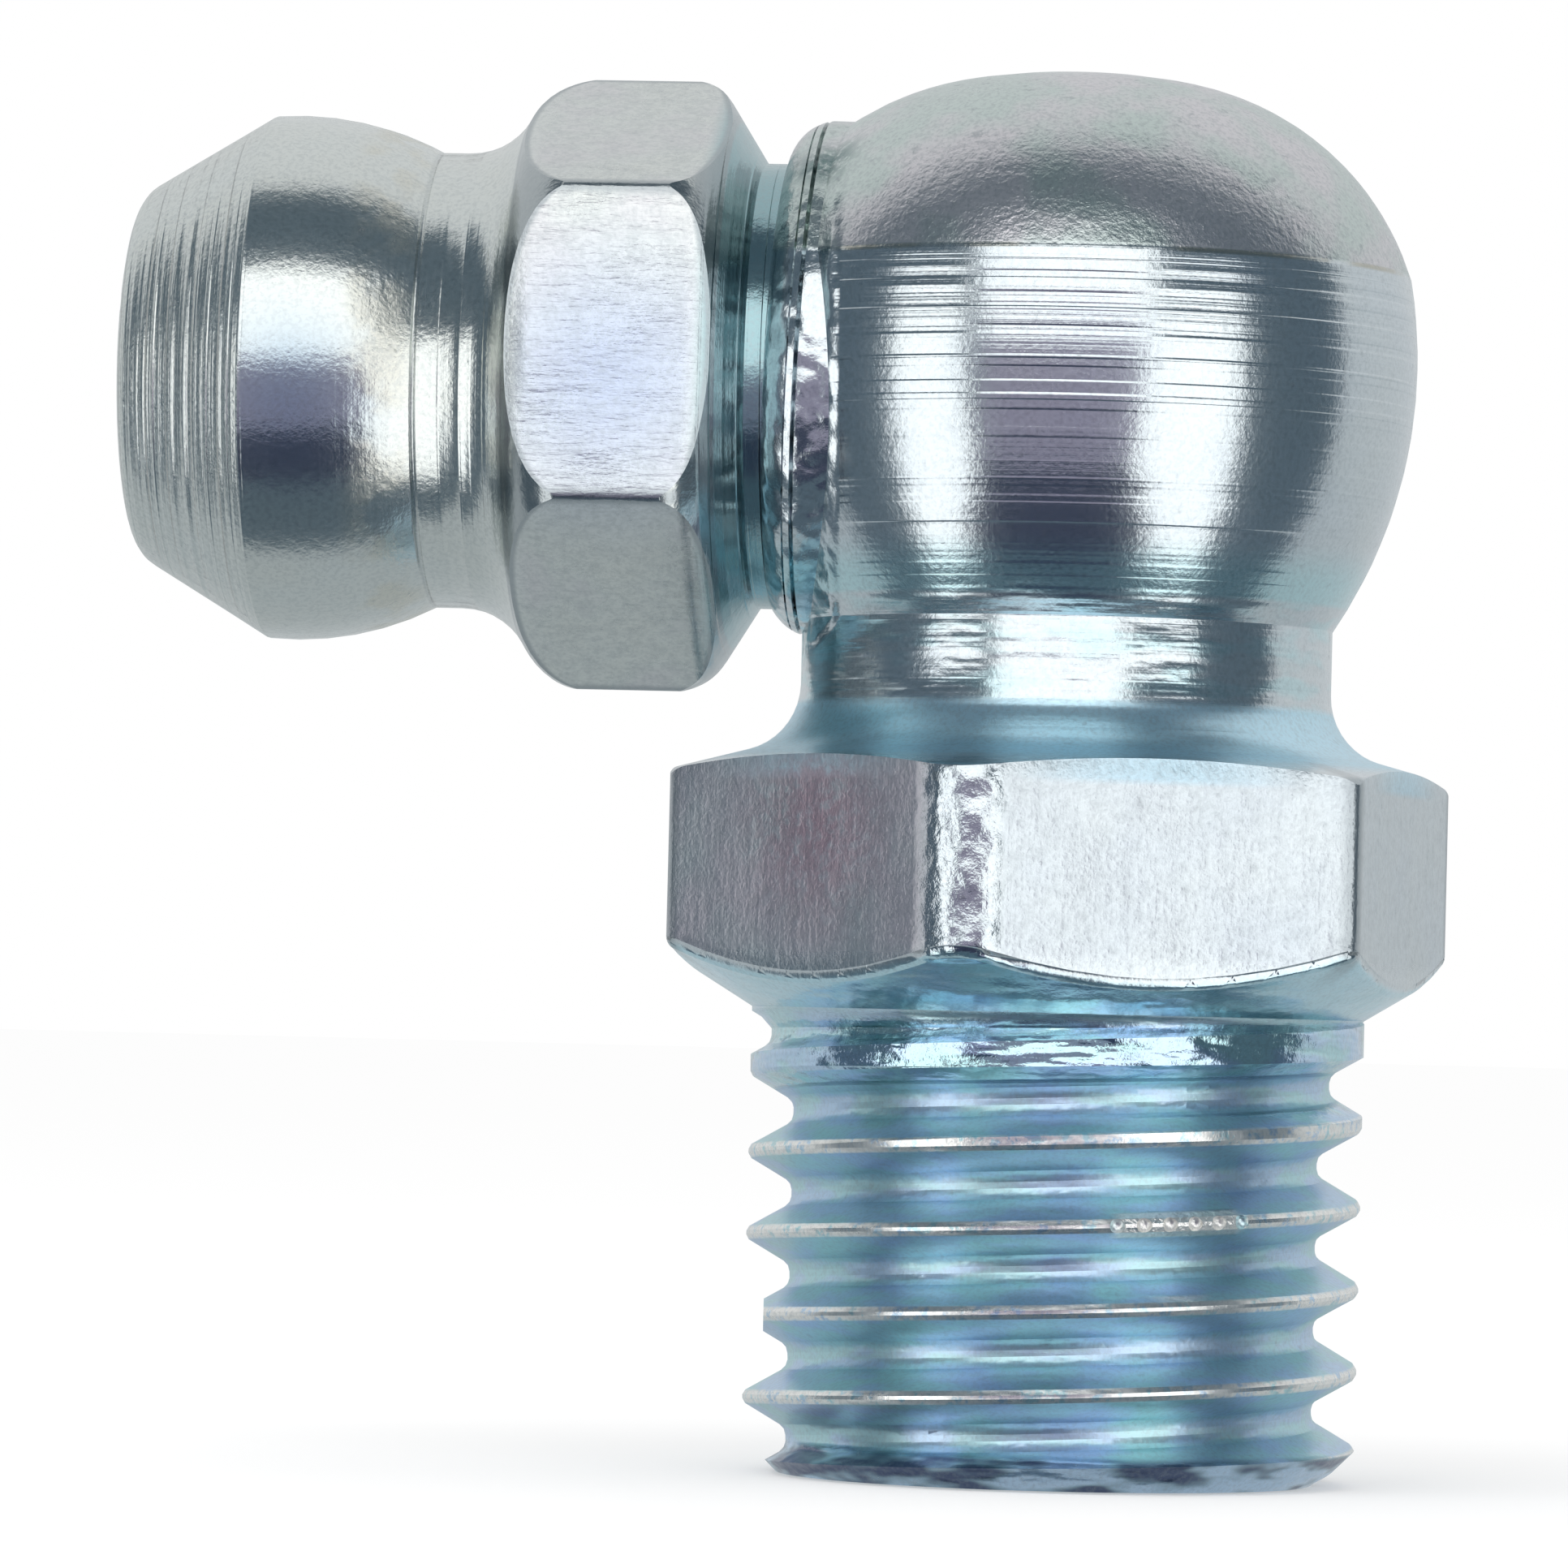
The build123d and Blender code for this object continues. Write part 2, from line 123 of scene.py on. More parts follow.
# %% A wire that does arithmetic, and a finish that adds nodes
class Wire:
    """One output of a node, with arithmetic."""

    def __init__(self, finish, socket):
        self.finish, self.socket = finish, socket

    def _math(self, operation, first, second):
        return self.finish.node("Math", {"operation": operation}, {0: first, 1: second})

    def __add__(self, other):
        return self._math("ADD", self, other)

    def __radd__(self, other):
        return self._math("ADD", other, self)

    def __sub__(self, other):
        return self._math("SUBTRACT", self, other)

    def __rsub__(self, other):
        return self._math("SUBTRACT", other, self)

    def __mul__(self, other):
        return self._math("MULTIPLY", self, other)

    def __rmul__(self, other):
        return self._math("MULTIPLY", other, self)

    def __pow__(self, other):
        return self._math("POWER", self, other)

    def out(self, name):
        """Another output of the same node."""
        return Wire(self.finish, self.socket.node.outputs[name])


class Finish:
    """A material that is being built."""

    def __init__(self, name):
        self.material = bpy.data.materials.new(name)
        self.material.use_nodes = True
        self.tree = self.material.node_tree
        self.tree.nodes.clear()

    def node(self, kind, settings=None, inputs=None, output=0):
        """Add a node: its settings first, then the values or wires of its inputs."""
        node = self.tree.nodes.new("ShaderNode" + kind)
        for name, value in (settings or {}).items():
            if name == "stops":
                elements = node.color_ramp.elements
                for place, colour in value[len(elements):]:
                    elements.new(place)
                for element, (place, colour) in zip(elements, value):
                    element.position, element.color = place, (*colour, 1.0)
            else:
                setattr(node, name, value)
        for name, value in (inputs or {}).items():
            socket = node.inputs[name]
            if isinstance(value, Wire):
                self.tree.links.new(value.socket, socket)
            elif isinstance(value, tuple) and len(value) == 3 and socket.type == "RGBA":
                socket.default_value = (*value, 1.0)
            else:
                socket.default_value = value
        return Wire(self, node.outputs[output])

    def ramp_up(self, value, low, high):
        """0 below low and 1 above high, with a smooth step between."""
        limits = {"Value": value, "From Min": low, "From Max": high}
        return self.node("MapRange", {"interpolation_type": "SMOOTHSTEP"}, limits)

    def beyond(self, value, edge, soft):
        """0 before an edge and 1 past it, changing over soft on both sides."""
        return self.ramp_up(value, edge - soft, edge + soft)

    def before(self, value, edge, soft):
        """1 before an edge and 0 past it."""
        return 1 - self.beyond(value, edge, soft)

    def within(self, value, low, high, soft):
        """1 between low and high, fading to 0 over soft on both sides."""
        return self.beyond(value, low, soft) * self.before(value, high, soft)

    def tint(self, amount, first, second):
        """First colour where amount is 0, second where it is 1."""
        return self.node("Mix", {"data_type": "RGBA"}, {0: amount, 6: first, 7: second}, output=2)

    def layered(self, colour, layers):
        """Lay colours over a first one, in order, each by its own amount."""
        for amount, over in layers:
            colour = self.tint(amount, colour, over)
        return colour

    def greatest(self, first, second):
        return self.node("Math", {"operation": "MAXIMUM"}, {0: first, 1: second})

    def least(self, first, second):
        return self.node("Math", {"operation": "MINIMUM"}, {0: first, 1: second})

    def size_of(self, value):
        return self.node("Math", {"operation": "ABSOLUTE"}, {0: value})

    def speckle(self, place, scale, detail=2.0, roughness=0.5):
        """Cloudy noise of 0 to 1, scale spots to a millimetre."""
        inputs = {"Vector": place, "Scale": scale, "Detail": detail, "Roughness": roughness}
        return self.node("TexNoise", {}, inputs)

    def lines(self, value, scale, detail=2.0):
        """Noise that changes along one value only, so it draws rings or drag lines."""
        inputs = {"W": value, "Scale": scale, "Detail": detail}
        return self.node("TexNoise", {"noise_dimensions": "1D"}, inputs)

    def bump(self, height):
        """Raise the surface by a height in millimetres."""
        return self.node("Bump", {}, {"Height": height, "Distance": MM, "Strength": 1.0})

    def coordinates(self):
        """The point's place in millimetres, as a vector and as x, y and z."""
        here = self.node("TexCoord", {}, {}, output="Object")
        place = self.node("VectorMath", {"operation": "SCALE"}, {0: here, "Scale": 1 / MM})
        x = self.node("SeparateXYZ", {}, {0: place}, output="X")
        return place, x, x.out("Y"), x.out("Z")

    def facing(self, axis):
        """How far the surface faces along an axis, either way: 0 across it, 1 along it."""
        normal = self.node("TexCoord", {}, {}, output="Normal")
        return self.size_of(self.node("SeparateXYZ", {}, {0: normal}, output=axis))

    def near(self, place, point, reach):
        """1 at a point of the part, fading to 0 at a reach from it."""
        apart = self.node("VectorMath", {"operation": "DISTANCE"}, {0: place, 1: point}, output="Value")
        return 1 - self.ramp_up(apart, 0.0, reach)

    def slope(self, value, low, high):
        """Grows evenly by a millimetre for each millimetre between low and high, and rests outside."""
        limits = {"Value": value, "From Min": low, "From Max": high, "To Max": high - low}
        return self.node("MapRange", {}, limits)

    def stretched(self, place, scales):
        """The same place with each direction scaled, for marks that are longer than wide."""
        return self.node("VectorMath", {"operation": "MULTIPLY"}, {0: place, 1: scales})

    def metal(self, colour, roughness, normal):
        """Finish with a metal surface."""
        inputs = {"Base Color": colour, "Metallic": 1.0, "Roughness": roughness, "Normal": normal}
        surface = self.node("BsdfPrincipled", {}, inputs)
        self.node_out(surface)
        return self.material

    def node_out(self, surface):
        out = self.tree.nodes.new("ShaderNodeOutputMaterial")
        self.tree.links.new(surface.socket, out.inputs["Surface"])


def dress(node_name, finish):
    """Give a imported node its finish, in all its slots."""
    for material_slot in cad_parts[node_name].material_slots:
        material_slot.material = finish
    print(node_name, "has a finish of", len(finish.node_tree.nodes), "nodes")


print("shader helpers ready")

# %% [markdown]
# ## Plating colours
#
# Zinc plating with a blue passivation isn't one grey. On turned and milled faces it is a satin silver with a
# breath of green. Where the bath stayed in a groove or a corner it turns teal to blue. The crests of the
# thread are almost white, partly from wear and partly as a painted highlight. Some of the colours below stand
# for painted shade and painted reflections. One material with masks by place keeps the tints continuous over
# the edges, which separate materials for each face wouldn't.

# %% Colours of the plating
SATIN_SILVER = (0.66, 0.71, 0.71)
WARM_SILVER = (0.68, 0.70, 0.66)
COOL_SILVER = (0.62, 0.69, 0.75)
GREEN_SILVER = (0.56, 0.64, 0.61)
ROSE_SILVER = (0.68, 0.66, 0.68)
LILAC = (0.50, 0.57, 0.71)
# near white of the crests: wear, and a painted highlight
BRIGHT_CREST = (0.90, 0.90, 0.87)
TEAL = (0.49, 0.75, 0.79)
DARK_TEAL = (0.24, 0.41, 0.45)
SKY_BLUE = (0.52, 0.69, 0.88)
PALE_BLUE = (0.60, 0.86, 1.0)
# mauve of a painted reflection on the front-left flat of the elbow's hexagon
MAUVE = (0.70, 0.63, 0.69)
ROSE_BROWN = (0.66, 0.38, 0.46)
# dark green of a painted reflection beside the rim
DARK_REFLECTION_GREEN = (0.10, 0.18, 0.18)
# grey for dirt, pits and grain, and also for painted shade at corners, edges, the crease and inside
SMOKE_AND_SHADE = (0.34, 0.38, 0.40)
# navy of the painted shade on the chamfer at the foot of the thread
NAVY = (0.10, 0.13, 0.22)
STRAW = (0.66, 0.64, 0.54)
SEAM_BROWN = (0.40, 0.36, 0.24)
# slate of a painted reflection tint on the front of the nipple's head
SLATE = (0.42, 0.53, 0.62)
print("plating colours ready")


# %% [markdown]
# ### Corners of a hexagon, from its three widths
#
# The corners of both hexagons are painted a little darker than their flats, as painted shade. A point of a
# hexagonal bar lies about equally far along two of the three directions across flats when it is at a corner,
# and only far along one when it is in the middle of a flat. The gap between the two largest therefore tells
# how near the corner is.

# %% Mask along the corners of a hexagon
def length_of(first, second):
    return (first * first + second * second) ** 0.5


def hexagon_corners(f, first, second, turn, width):
    """1 along the corners of a bar whose flats face turn degrees and every 60 from there."""
    bearings = [math.radians(turn + step) for step in (0, 60, 120)]
    spans = [f.size_of(first * math.cos(b) + second * math.sin(b)) for b in bearings]
    largest = f.greatest(f.greatest(spans[0], spans[1]), spans[2])
    smallest = f.least(f.least(spans[0], spans[1]), spans[2])
    middle = spans[0] + spans[1] + spans[2] - largest - smallest
    return 1 - f.ramp_up(largest - middle, 0.3 * width, width)


print("corner mask ready")

# %% [markdown]
# ## Plated elbow
#
# Before any colour, the finish has to know what it is on: thread, cone, flat, neck, band or dome. Each of
# these regions is a mask that is 1 inside and 0 outside. It is made from the height above the end face, the
# distance from the elbow's axis, and how much the surface faces up or down. The masks are kept by name in one
# record, so that colour, relief and roughness can share them.

# %% Edges of the regions on the stub and the hexagon, in millimetres
END_SKIN, CHAMFER_TOP = 0.04, 0.41
LAND_FOOT, LAND_RADIUS, WIDE_CREST_FOOT = 4.75, 3.65, 4.8
CONE_TOP, CONE_SLOPE = 6.9, 31.5
HEX_RADIUS, HEX_FLAT_TURN = 4.45, -11.7
LIP_HEIGHT = 0.16
WORN_CORNER, WORN_REACH = math.radians(-101.7), 4.96
CHIPPED_CREST, CHIPS_REACH, CHIP_FOOT = (1.83, -3.52, 3.3), 1.4, 3.81


def stub_and_hexagon(f, at):
    """Masks of the thread, its crests, the land above it, the end of the stub, the cone and the hexagon."""
    at.thread = f.before(at.z, CONE_FOOT, 0.2)
    at.crest = at.thread * f.beyond(at.radius, CREST_RADIUS - 0.04, 0.02)
    at.narrow_crest = at.crest * f.before(at.z, WIDE_CREST_FOOT, 0.2)
    at.land = f.within(at.z, LAND_FOOT, CONE_FOOT - 0.1, 0.1) * f.beyond(at.radius, LAND_RADIUS, 0.05)
    level = f.ramp_up(at.lean, 0.9, 0.95)
    at.end_face = f.before(at.z, END_SKIN, 0.02) * level
    at.chamfer = f.before(at.z, CHAMFER_TOP, 0.05) * (1 - level)
    at.cone = f.within(at.z, CONE_FOOT, CONE_TOP, 0.15) * f.ramp_up(at.lean, 0.3, 0.6)
    at.hexagon = f.within(at.z, HEX_LOW, HEX_TOP, 0.3) * f.beyond(at.radius, HEX_RADIUS, 0.05)
    at.flats = at.hexagon * (1 - f.ramp_up(at.lean, 0.1, 0.3))
    above_cone = at.z - CONE_FOOT - (at.radius - CREST_RADIUS) * math.tan(math.radians(CONE_SLOPE))
    at.lip = at.hexagon * f.before(above_cone, LIP_HEIGHT, 0.06)
    at.corners = at.hexagon * hexagon_corners(f, at.x, at.y, HEX_FLAT_TURN, 0.26)
    towards_worn = at.x * math.cos(WORN_CORNER) + at.y * math.sin(WORN_CORNER)
    at.worn = at.hexagon * f.beyond(towards_worn, WORN_REACH, 0.06)
    near_chips = f.ramp_up(f.near(at.place, CHIPPED_CREST, CHIPS_REACH), 0.2, 0.4)
    at.chipped = near_chips * f.beyond(at.radius, CHIP_FOOT, 0.03)


print("worn corner is", WORN_REACH, "mm from the axis")

# %% Edges of the regions on neck, head, rim and bores, in millimetres
SHOULDER_FOOT, SHOULDER_RADIUS = 8.9, 4.65
FILLET_TOP, BAND_FOOT = NECK_FOOT + 0.35, NECK_TOP + 0.3
RIM_BACK, RIM_RADIUS = -2.85, 3.65
SIDE_HOLE_RADIUS, SIDE_HOLE_END = 2.92, 1.4
BORE_RADIUS, BORE_TOP = 1.5, 16.5


def head_and_bores(f, at):
    """Masks of the shoulder, the neck, the two parts of the head, the rim and the surfaces inside."""
    at.shoulder = f.within(at.z, SHOULDER_FOOT, FILLET_TOP, 0.06) * f.before(at.radius, SHOULDER_RADIUS, 0.35)
    at.neck = f.within(at.z, FILLET_TOP, BAND_FOOT, 0.1)
    at.band = f.within(at.z, BAND_FOOT, KINK_HEIGHT, 0.04)
    at.dome = f.beyond(at.z, KINK_HEIGHT + 0.02, 0.04)
    at.seam = f.within(at.z, KINK_HEIGHT - 0.03, KINK_HEIGHT + 0.03, 0.02)
    at.rim = f.before(at.x, RIM_BACK, 0.1) * f.before(at.off_axis, RIM_RADIUS, 0.1)
    in_hole = f.before(at.off_axis, SIDE_HOLE_RADIUS, 0.02) * f.before(at.x, SIDE_HOLE_END, 0.2)
    along_bore = f.before(at.z, BORE_TOP, 0.1) * f.beyond(at.z, END_SKIN, 0.02)
    at.inside = f.greatest(in_hole, f.before(at.radius, BORE_RADIUS, 0.05) * along_bore)


print("band of the head runs from", round(BAND_FOOT, 2), "to", KINK_HEIGHT, "mm")

# %% [markdown]
# ### Colour of the elbow
#
# The colour is built up as the bath built it: silver first, then the tints of each region, then dirt, wear
# and pits. Some layers are painted light: painted shade on the chamfer, the hexagon's corners and the bores,
# painted reflections on the front-left flat and beside the rim, and crests that are partly a painted
# highlight. Each layer is an amount and the colour laid over what is there. Noise breaks every edge up,
# because on real plating no tint ends in a clean line.

# %% Layers of colour on the elbow
ROSE_PATCH, ROSE_REACH = (-2.9, -3.5, 8.3), 1.9
# a painted reflection: a dark spot beside the rim, where the nipple's hexagon mirrors in the head
DARK_REFLECTION_SPOT, DARK_REFLECTION_REACH = (-3.1, -2.1, 16.8), 0.75
LEFT_FLAT_EDGE = -1.45
TEAL_END_OF_BAND = 11.8


def elbow_colour(f, at):
    patchy = f.ramp_up(at.cloud, 0.4, 0.6)
    mottled = f.ramp_up(at.fine, 0.42, 0.60)
    # the front-left flat, which gets a painted reflection
    left_flat = at.flats * f.before(at.x, LEFT_FLAT_EDGE, 0.25) * f.before(at.y, -0.1, 0.5)
    # crests worn or chipped, and painted bright also as a highlight
    worn_and_highlit_crest = f.greatest(at.narrow_crest * f.ramp_up(at.fine, 0.36, 0.5), at.chipped)
    rose = at.flats * f.near(at.place, ROSE_PATCH, ROSE_REACH) * f.ramp_up(at.fine, 0.3, 0.6)
    layers = (
        (at.dome * 0.9, f.tint(patchy, GREEN_SILVER, ROSE_SILVER)),
        (at.thread * (1 - 0.5 * at.end_face) * 0.92, f.tint(f.ramp_up(at.around, 0.4, 0.6), TEAL, SKY_BLUE)),
        (at.cone * 0.8, f.tint(at.around, TEAL, PALE_BLUE)),
        (at.shoulder * 0.9, f.tint(at.around * 0.3, PALE_BLUE, TEAL)),
        (at.neck * f.ramp_up(at.around, 0.45, 0.65) * 0.5, TEAL),
        (at.band * f.before(at.z, TEAL_END_OF_BAND, 0.3) * 0.7, TEAL),
        # partly wear, partly painted highlight: the crests of the thread almost white
        (worn_and_highlit_crest, BRIGHT_CREST),
        # painted shade: the chamfer at the foot of the thread darkened to navy, broken by noise
        (at.chamfer * (1 - f.ramp_up(at.around, 0.4, 0.6)), NAVY),
        # painted reflection: the mauve that the front-left flat mirrors, laid on its colour
        (left_flat * f.ramp_up(at.cloud, 0.2, 0.6) * 0.8, MAUVE),
        (rose * 0.7, ROSE_BROWN),
        (at.flats * mottled * 0.15, SMOKE_AND_SHADE),
        # painted shade: the hexagon's corners darkened, all but the worn one
        (at.corners * (1 - at.worn) * 0.7, SMOKE_AND_SHADE),
        # painted reflection: dark green beside the rim, broken by noise
        (f.near(at.place, DARK_REFLECTION_SPOT, DARK_REFLECTION_REACH) * f.ramp_up(at.fine, 0.35, 0.55) * 0.9, DARK_REFLECTION_GREEN),
        (at.seam * patchy * 0.6, SEAM_BROWN),
        (at.pits * (0.2 + 0.3 * at.dome + 0.4 * at.worn), SMOKE_AND_SHADE),
        (f.ramp_up(at.grain, 0.42, 0.66) * (0.20 + 0.15 * at.dome), SMOKE_AND_SHADE),
        # painted shade inside the bores and the side hole
        (at.inside * 0.8, SMOKE_AND_SHADE),
    )
    return f.layered(f.tint(at.cloud, SATIN_SILVER, COOL_SILVER), layers)


print("band of the head is teal below", TEAL_END_OF_BAND, "mm")

# %% [markdown]
# ### Tool marks on the elbow
#
# The tool marks are fine relief, too fine for a mesh: rings that the lathe left on head and neck, and drag
# lines that the milling cutter left on the flats. A bump map draws them. Rings are noise that changes with
# height alone, drag lines are noise stretched along the flat. A few wider rings with sharp edges are added,
# because it is those edges that show as bright and dark lines right across the head. All heights are summed
# in millimetres and go into one bump, so every number says how deep a mark is.

# %% Relief of the elbow, in millimetres, and its roughness
SECOND_SET = 30
SMOOTHER_BELOW = 13.6


def lands(f, along, scale, low, high):
    """Flat-topped rings of uneven width, as a blunt tool leaves; their edges catch the light as lines."""
    return f.ramp_up(f.lines(along, scale, 0.0), low, high)


def elbow_relief(f, at):
    turned_band = at.band * (1 - at.rim) * (0.35 + 0.65 * f.beyond(at.z, SMOOTHER_BELOW, 0.6))
    rings = f.lines(at.z, 8.0, 4.0) * f.ramp_up(f.lines(at.z, 0.9, 1.0), 0.3, 0.6)
    height = rings * (turned_band + 0.6 * at.neck + 0.3 * at.shoulder) * 0.013
    wide_rings = lands(f, at.z, 2.4, 0.50, 0.56) + lands(f, at.z + SECOND_SET, 3.3, 0.54, 0.60)
    height += wide_rings * turned_band * 0.008
    height += f.lines(at.radius, 7.0, 3.0) * at.end_face * 0.012
    height += f.slope(0 - at.z, -NECK_TOP, -NECK_FOOT) * 0.12
    waves = 0.028 * at.neck + 0.09 * at.land + 0.05 * at.chamfer + 0.03 * at.thread + 0.04 * at.cone
    height += at.around * waves
    height += f.speckle(at.place, 2.4, 1.0) * (0.07 * at.worn + 0.09 * at.rim + 0.02 * at.lip)
    drag = f.speckle(f.stretched(at.place, (6.0, 6.0, 0.8)), 1.0, 4.0, 0.6)
    height += drag * at.flats * (1 - at.worn) * 0.007
    height += f.speckle(at.place, 0.5, 1.0) * at.flats * 0.09
    rough = 0.003 + 0.009 * at.dome + 0.006 * (at.flats + at.worn + at.rim) + 0.010 * at.land
    height += at.fine * (rough + 0.035 * at.chipped)
    return height + at.grain * (0.0020 + 0.004 * at.dome + 0.003 * at.flats)


def elbow_roughness(at):
    satin = 0.10 * at.dome + 0.12 * at.flats + 0.16 * at.shoulder + 0.17 * at.thread * (1 - at.land)
    polished = 0.14 * at.worn + 0.12 * at.chamfer + 0.08 * at.crest
    return 0.16 + satin + 0.05 * at.cloud + 0.05 * at.pits - polished


print("rings of the head are shallower below", SMOOTHER_BELOW, "mm")

# %% Finish of the elbow
FINE_SPECKLE, GRAIN_SPECKLE = (6.0, 4.0, 0.65), (17.0, 2.0, 0.6)


def plated_elbow():
    f = Finish("plated_body")
    at = SimpleNamespace()
    at.place, at.x, at.y, at.z = f.coordinates()
    at.lean = f.facing("Z")
    at.radius = length_of(at.x, at.y)
    at.off_axis = length_of(at.y, at.z - AXIS_HEIGHT)
    at.cloud = f.speckle(at.place, 0.7, 3.0)
    at.fine = f.speckle(at.place, *FINE_SPECKLE)
    at.grain = f.speckle(at.place, *GRAIN_SPECKLE)
    at.around = f.speckle(f.stretched(at.place, (0.9, 0.9, 3.6)), 1.0, 2.0, 0.5)
    at.pits = f.ramp_up(at.fine, 0.60, 0.70)
    stub_and_hexagon(f, at)
    head_and_bores(f, at)
    return f.metal(elbow_colour(f, at), elbow_roughness(at), f.bump(elbow_relief(f, at)))


dress("elbow_body", plated_elbow())

# %% [markdown]
# ## Plated nipple
#
# The nipple was turned about its own axis, so its rings stand upright in the photograph, and its hexagon was
# drawn through a die, which left lines along the bar. The same plating covers it, so the colours are shared
# and only the directions change. Its regions are told by the reach from the elbow's axis and the distance
# from the nipple's own axis.

# %% Regions of the nipple, in millimetres
NIPPLE_FLAT_TURN = -4.9
CROWN_CENTRE, CROWN_FOOT, CROWN_RADIUS = 6.15, 3.04, 1.0
CORNER_BACK, CORNER_RADIUS, BACK_SLOPE = 4.75, 4.04, 32.0
EDGE_WIDTH = (0.03, 0.10)
OUTLINE_FOOT = 3.4
NECK_FRONT = NIPPLE_HEX_FRONT + 0.25
SCUFF_END = 9.1
CHAMBER_RADIUS = 1.66


def nipple_regions(f, at):
    """Masks of the tip, the head, the neck, the hexagon with its edges, the cone behind, and the inside."""
    at.tip = f.beyond(at.reach, CONE_END_REACH, 0.03)
    at.bulge = f.within(at.reach, NECK_REACH, CONE_END_REACH, 0.05)
    at.neck = f.within(at.reach, NECK_FRONT, NECK_REACH, 0.05)
    at.crease = f.within(at.reach, NECK_REACH - 0.03, NECK_REACH + 0.02, 0.02)
    hexagon = f.within(at.reach, NIPPLE_HEX_BACK, NIPPLE_HEX_FRONT, 0.2)
    at.flats = hexagon * (1 - f.ramp_up(at.lean, 0.1, 0.25))
    crown = CROWN_CENTRE + (CROWN_RADIUS**2 - (at.off_axis - CROWN_FOOT) ** 2.0) ** 0.5
    cone_behind = CORNER_BACK + (at.off_axis - CORNER_RADIUS) * math.tan(math.radians(BACK_SLOPE))
    gap = f.least(f.size_of(crown - at.reach), f.size_of(at.reach - cone_behind))
    edge = (1 - f.ramp_up(gap, *EDGE_WIDTH)) * f.ramp_up(at.off_axis, OUTLINE_FOOT, OUTLINE_FOOT + 0.05)
    at.outline = f.greatest(edge, hexagon * hexagon_corners(f, at.y, at.up, NIPPLE_FLAT_TURN, 0.16))
    at.back = f.before(at.reach, NIPPLE_HEX_BACK - 0.05, 0.15)
    worn_patches = f.ramp_up(f.speckle(at.place, 1.4, 3.0), 0.42, 0.62)
    at.scuffed = f.within(at.reach, NECK_REACH + 0.05, SCUFF_END, 0.2) * worn_patches
    at.inside = f.before(at.off_axis, CHAMBER_RADIUS, 0.04) * f.before(at.reach, TIP_REACH - 0.09, 0.03)


print("neck of the nipple runs from", NECK_FRONT, "to", NECK_REACH, "mm")

# %% [markdown]
# ### Finish of the nipple
#
# Behind the widest place a coupling has scuffed the head: there the plating is rough and straw-coloured. A
# slate tint is painted on the front of the head as a painted reflection, which turns the mauve mirrored there
# navy. The edges of the hexagon, the crease behind the head and the chamber are darkened as painted shade.
# The neck flares a little towards the hexagon, and a slope in the bump gives the light that turn.

# %% Colour, relief and roughness of the nipple
# a painted reflection: a slate tint on the front of the head, and how far it reaches
SLATE_REFLECTION_SPOT, SLATE_SPOT_REACH = (-9.8, -3.3, 13.6), 1.7
LILAC_FLAT, LILAC_REACH = (-5.7, -3.5, 13.9), 2.6
FLARE_LENGTH = 0.6


def nipple_colour(f, at):
    layers = (
        (at.flats * f.ramp_up(at.cloud, 0.45, 0.65) * 0.5, ROSE_SILVER),
        (at.flats * f.near(at.place, LILAC_FLAT, LILAC_REACH), LILAC),
        (at.flats * f.ramp_up(at.fine, 0.42, 0.60) * 0.18, SMOKE_AND_SHADE),
        (at.back * 0.85, DARK_TEAL),
        # painted reflection: slate on the front of the head, which turns the mauve mirrored there navy
        (at.bulge * f.near(at.place, SLATE_REFLECTION_SPOT, SLATE_SPOT_REACH), SLATE),
        (at.scuffed * 0.5, STRAW),
        # painted shade: the edges of the hexagon, its crown and the cone behind darkened
        (at.outline * 0.75, SMOKE_AND_SHADE),
        # painted shade in the crease between the head and the neck
        (at.crease * 0.25, SMOKE_AND_SHADE),
        (at.pits * (0.2 + 0.4 * at.scuffed + 0.2 * at.tip), SMOKE_AND_SHADE),
        (f.ramp_up(at.grain, 0.42, 0.66) * 0.22, SMOKE_AND_SHADE),
        # painted shade inside the chamber
        (at.inside * 0.8, SMOKE_AND_SHADE),
    )
    return f.layered(f.tint(at.cloud, WARM_SILVER, SATIN_SILVER), layers)


def nipple_relief(f, at):
    rings = 0.030 * at.tip + 0.003 * at.bulge + 0.004 * at.neck + 0.014 * at.back
    height = f.lines(at.reach, 8.0, 4.0) * rings
    height += lands(f, at.reach, 3.4, 0.48, 0.54) * (0.016 * at.tip + 0.002 * at.neck + 0.010 * at.back)
    height += f.slope(0 - at.reach, -NECK_REACH, -NECK_REACH + FLARE_LENGTH) * 0.30
    height += at.along * at.flats * 0.015 - at.crease * 0.008
    height += f.speckle(at.place, 0.6, 1.0) * (0.07 * at.flats + 0.02 * at.bulge + 0.06 * at.back)
    height += at.fine * (0.005 + 0.006 * at.scuffed + 0.004 * at.tip)
    return height + at.grain * (0.0025 + 0.001 * at.tip)


def plated_nipple():
    f = Finish("plated_nipple")
    at = SimpleNamespace()
    at.place, at.x, at.y, at.z = f.coordinates()
    at.reach = 0 - at.x
    at.up = at.z - AXIS_HEIGHT
    at.off_axis = length_of(at.y, at.up)
    at.lean = f.facing("X")
    at.cloud = f.speckle(at.place, 0.8, 3.0)
    at.fine = f.speckle(at.place, *FINE_SPECKLE)
    at.grain = f.speckle(at.place, *GRAIN_SPECKLE)
    at.along = f.speckle(f.stretched(at.place, (1.2, 6.0, 6.0)), 1.0, 4.0, 0.6)
    at.pits = f.ramp_up(at.fine, 0.62, 0.74)
    nipple_regions(f, at)
    satin = 0.06 * at.tip + 0.08 * at.flats + 0.08 * at.scuffed
    roughness = 0.17 + satin + 0.05 * at.cloud + 0.05 * at.pits
    return f.metal(nipple_colour(f, at), roughness, f.bump(nipple_relief(f, at)))


dress("nipple", plated_nipple())

